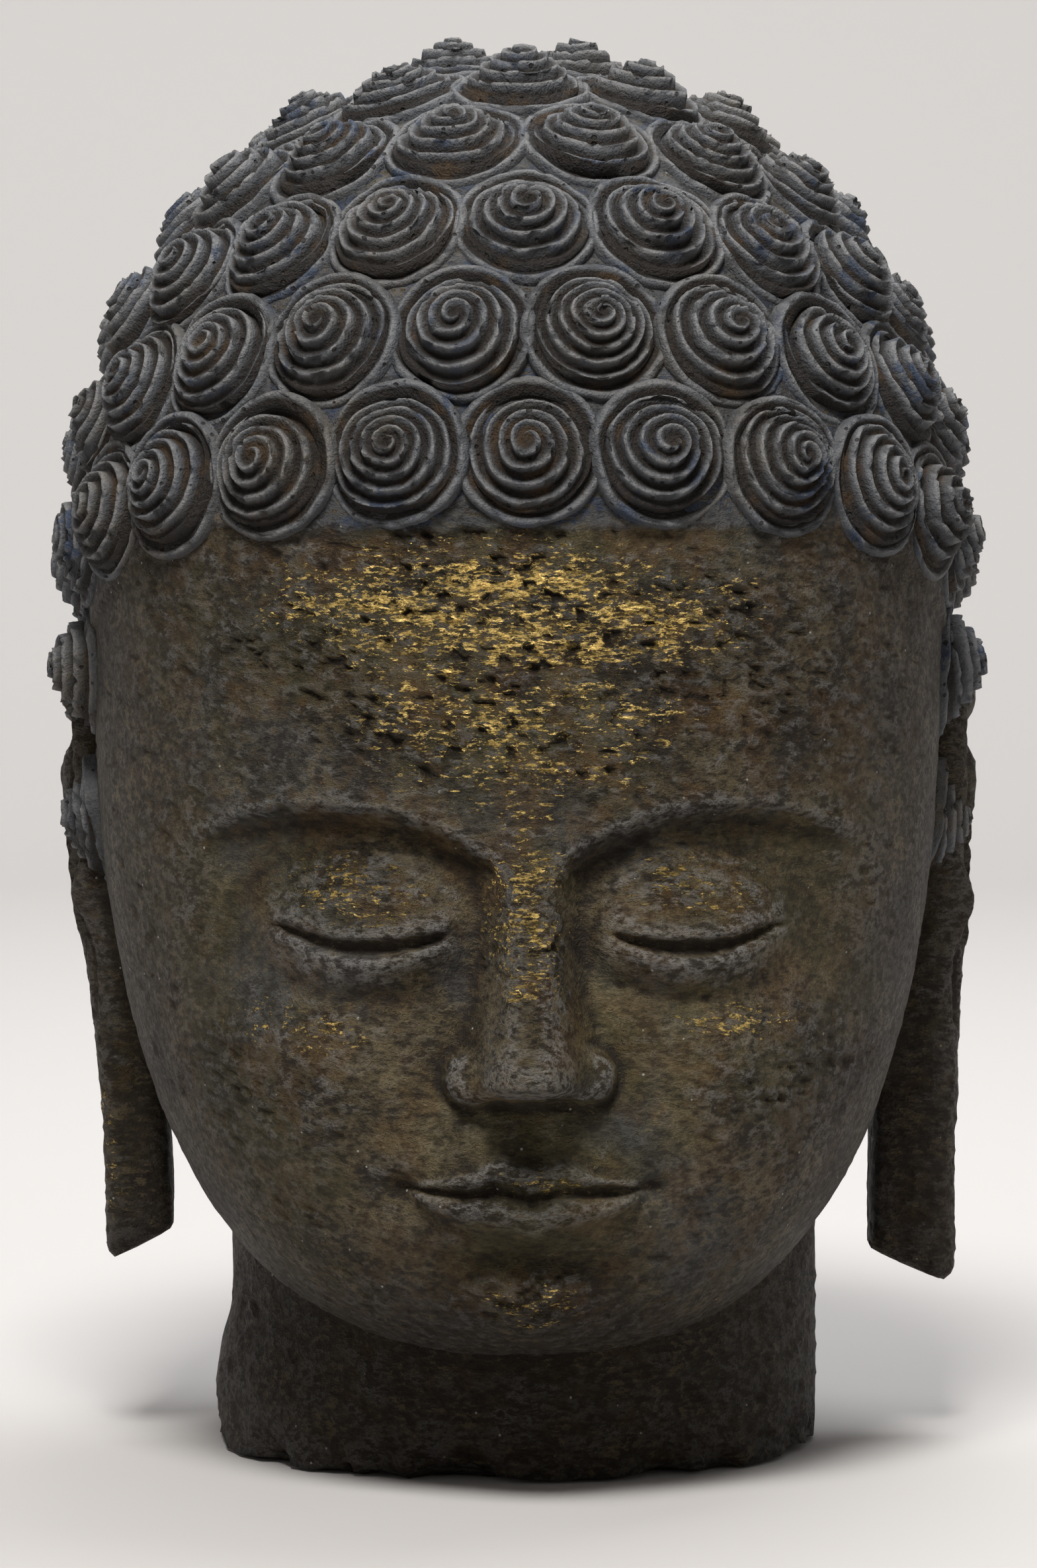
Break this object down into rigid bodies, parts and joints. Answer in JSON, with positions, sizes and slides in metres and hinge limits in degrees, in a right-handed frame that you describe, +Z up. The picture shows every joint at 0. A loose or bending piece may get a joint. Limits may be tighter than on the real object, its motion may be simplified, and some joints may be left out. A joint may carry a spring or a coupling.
{
  "type": "stone buddha head",
  "caption": "Carved stone head of a Buddha with rows of snail-shell curls, long ears and half-closed eyes, cut flat through the neck.",
  "frame": {"origin": "middle of the flat cut face under the neck", "axes": "+Z up to the crown, the face looks along -Y, +X is the viewer's right"},
  "size_m": [0.2974, 0.335, 0.4437],
  "materials": {
    "stone": "weathered dark volcanic stone, pitted, with ochre stains and worn traces of gilding"
  },
  "bodies": {
    "root": {"buddha_head": "stone"}
  },
  "joints": []
}
